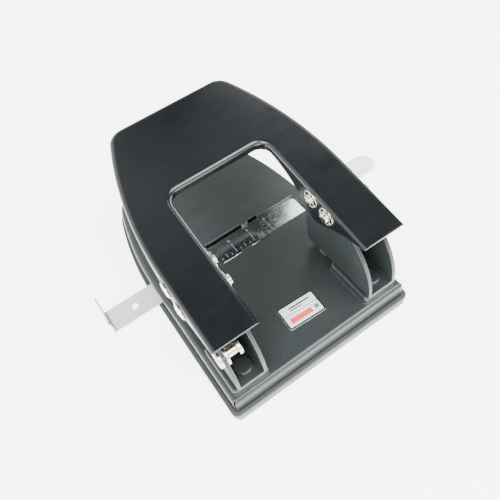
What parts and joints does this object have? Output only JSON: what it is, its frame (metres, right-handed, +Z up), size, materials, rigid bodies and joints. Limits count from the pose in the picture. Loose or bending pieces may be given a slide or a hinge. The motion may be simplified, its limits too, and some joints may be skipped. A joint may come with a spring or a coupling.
{
  "type": "two-hole paper punch",
  "caption": "Desktop hole punch with a wide open-centred press handle over paired brackets, a sliding paper guide scale, a lock pin and a pull-off chip tray.",
  "frame": {"origin": "on the desk plane, midway between the two punch axes", "axes": "+Z up, +X to the user's right along the paper guide, paper goes in towards +Y"},
  "size_m": [0.1877, 0.1668, 0.0899],
  "materials": {
    "base_paint": "semi-gloss dark grey enamel",
    "handle_paint": "satin black enamel",
    "tray_plastic": "moulded grey",
    "rubber_pad": "matt",
    "zinc_strip": "bright zinc plate",
    "nickel": "warm nickel plate",
    "tool_steel": "ground",
    "spring_steel": "drawn",
    "label": "satin foil"
  },
  "bodies": {
    "base": {"base_plate": "base_paint", "guide_spring": "spring_steel", "spring_rivets": "spring_steel", "label_plate": "label", "bracket_right": "base_paint", "bracket_left": "base_paint", "bracket_rivets": "base_paint", "lock_bush": "nickel", "die_right": "tool_steel", "guide_bush_right": "tool_steel", "guide_bridge_right": "base_paint", "punch_spring_right": "spring_steel", "die_left": "tool_steel", "guide_bush_left": "tool_steel", "guide_bridge_left": "base_paint", "punch_spring_left": "spring_steel"},
    "chip_tray": {"chip_tray": "tray_plastic", "anti_slip_pad": "rubber_pad"},
    "handle": {"handle": "handle_paint", "pivot_pin_right": "nickel", "pivot_pin_left": "nickel", "pivot_retainers": "nickel", "lock_catch": "handle_paint"},
    "paper_guide": {"paper_guide": "zinc_strip"},
    "lock_pin": {"lock_pin": "nickel"},
    "punch_right": {"punch_right": "tool_steel", "spring_collar_right": "spring_steel", "drive_pin_right": "nickel", "drive_retainer_right": "nickel"},
    "punch_left": {"punch_left": "tool_steel", "spring_collar_left": "spring_steel", "drive_pin_left": "nickel", "drive_retainer_left": "nickel"}
  },
  "joints": [
    {"name": "handle_press", "type": "hinge", "parent": "base", "child": "handle", "pos_m": [0, 0.0115, 0.065], "axis": [1, 0, 0], "range_deg": [0, 36], "stiffness_Nm_per_rad": 0.6, "springref_deg": -28.65},
    {"name": "punch_right_stroke", "type": "slide", "parent": "base", "child": "punch_right", "axis": [0, 0, -1], "range_m": [0, 0.0076], "deforming": ["punch_spring_right"]},
    {"name": "punch_left_stroke", "type": "slide", "parent": "base", "child": "punch_left", "axis": [0, 0, -1], "range_m": [0, 0.0076], "deforming": ["punch_spring_left"]},
    {"name": "paper_guide_slide", "type": "slide", "parent": "base", "child": "paper_guide", "axis": [1, 0, 0], "range_m": [-0.025, 0.064]},
    {"name": "lock_pin_pull", "type": "slide", "parent": "base", "child": "lock_pin", "axis": [1, 0, 0], "range_m": [0, 0.004]},
    {"name": "chip_tray_off", "type": "slide", "parent": "base", "child": "chip_tray", "axis": [0, 0, -1], "range_m": [0, 0.015]}
  ],
  "couplings": [
    {"joint": "punch_right_stroke", "follows": "handle_press", "m_per_rad": 0.011986},
    {"joint": "punch_left_stroke", "follows": "handle_press", "m_per_rad": 0.011986}
  ]
}
